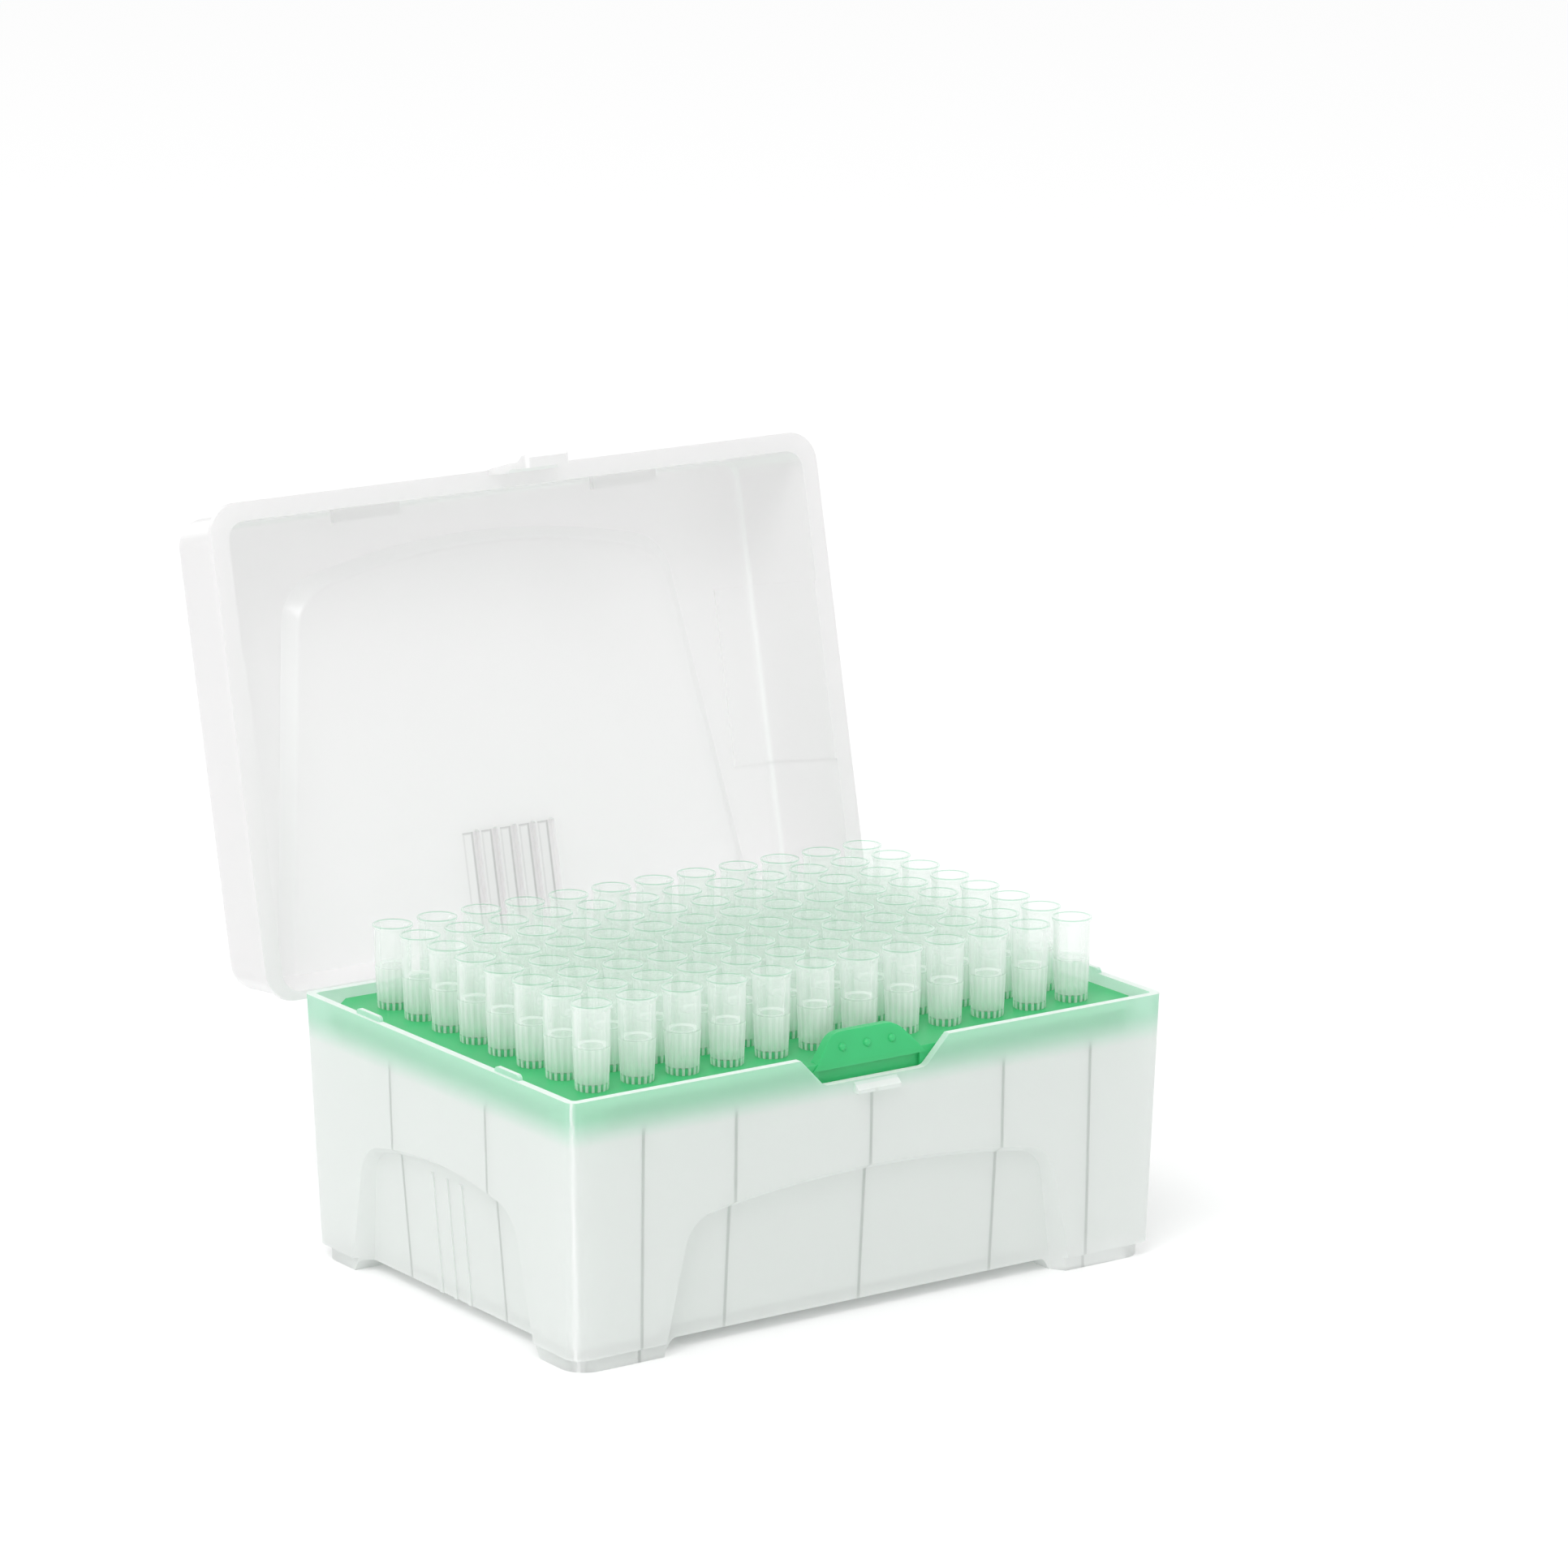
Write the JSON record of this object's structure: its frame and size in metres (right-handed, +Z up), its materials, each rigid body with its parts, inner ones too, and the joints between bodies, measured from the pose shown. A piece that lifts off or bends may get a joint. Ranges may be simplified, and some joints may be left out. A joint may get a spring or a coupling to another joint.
{
  "type": "pipette tip box",
  "caption": "Hinged lab box with a frosted clear base and arched lid, a green perforated tray and clear pipette tips standing in it.",
  "frame": {"origin": "middle of the open box's plan, on the plane of the feet", "axes": "+Z up, +X along the box's long side, +Y from the catch at the front towards the hinge; the lid stands open"},
  "size_m": [0.1276, 0.1308, 0.1334],
  "materials": {
    "box_plastic": "frosted translucent",
    "tray_plastic": "satin",
    "tip_plastic": "clear"
  },
  "bodies": {
    "base": {"box_base": "box_plastic", "tip_tray": "tray_plastic", "tips_column_01": "tip_plastic", "tips_column_02": "tip_plastic", "tips_column_03": "tip_plastic", "tips_column_04": "tip_plastic", "tips_column_05": "tip_plastic", "tips_column_06": "tip_plastic", "tips_column_07": "tip_plastic", "tips_column_08": "tip_plastic", "tips_column_09": "tip_plastic", "tips_column_10": "tip_plastic", "tips_column_11": "tip_plastic", "tips_column_12": "tip_plastic"},
    "lid": {"lid": "box_plastic"}
  },
  "joints": [
    {"name": "lid_hinge", "type": "hinge", "parent": "base", "child": "lid", "pos_m": [0, 0.02365, 0.04285], "axis": [1, 0, 0], "range_deg": [0, 101.8]}
  ]
}
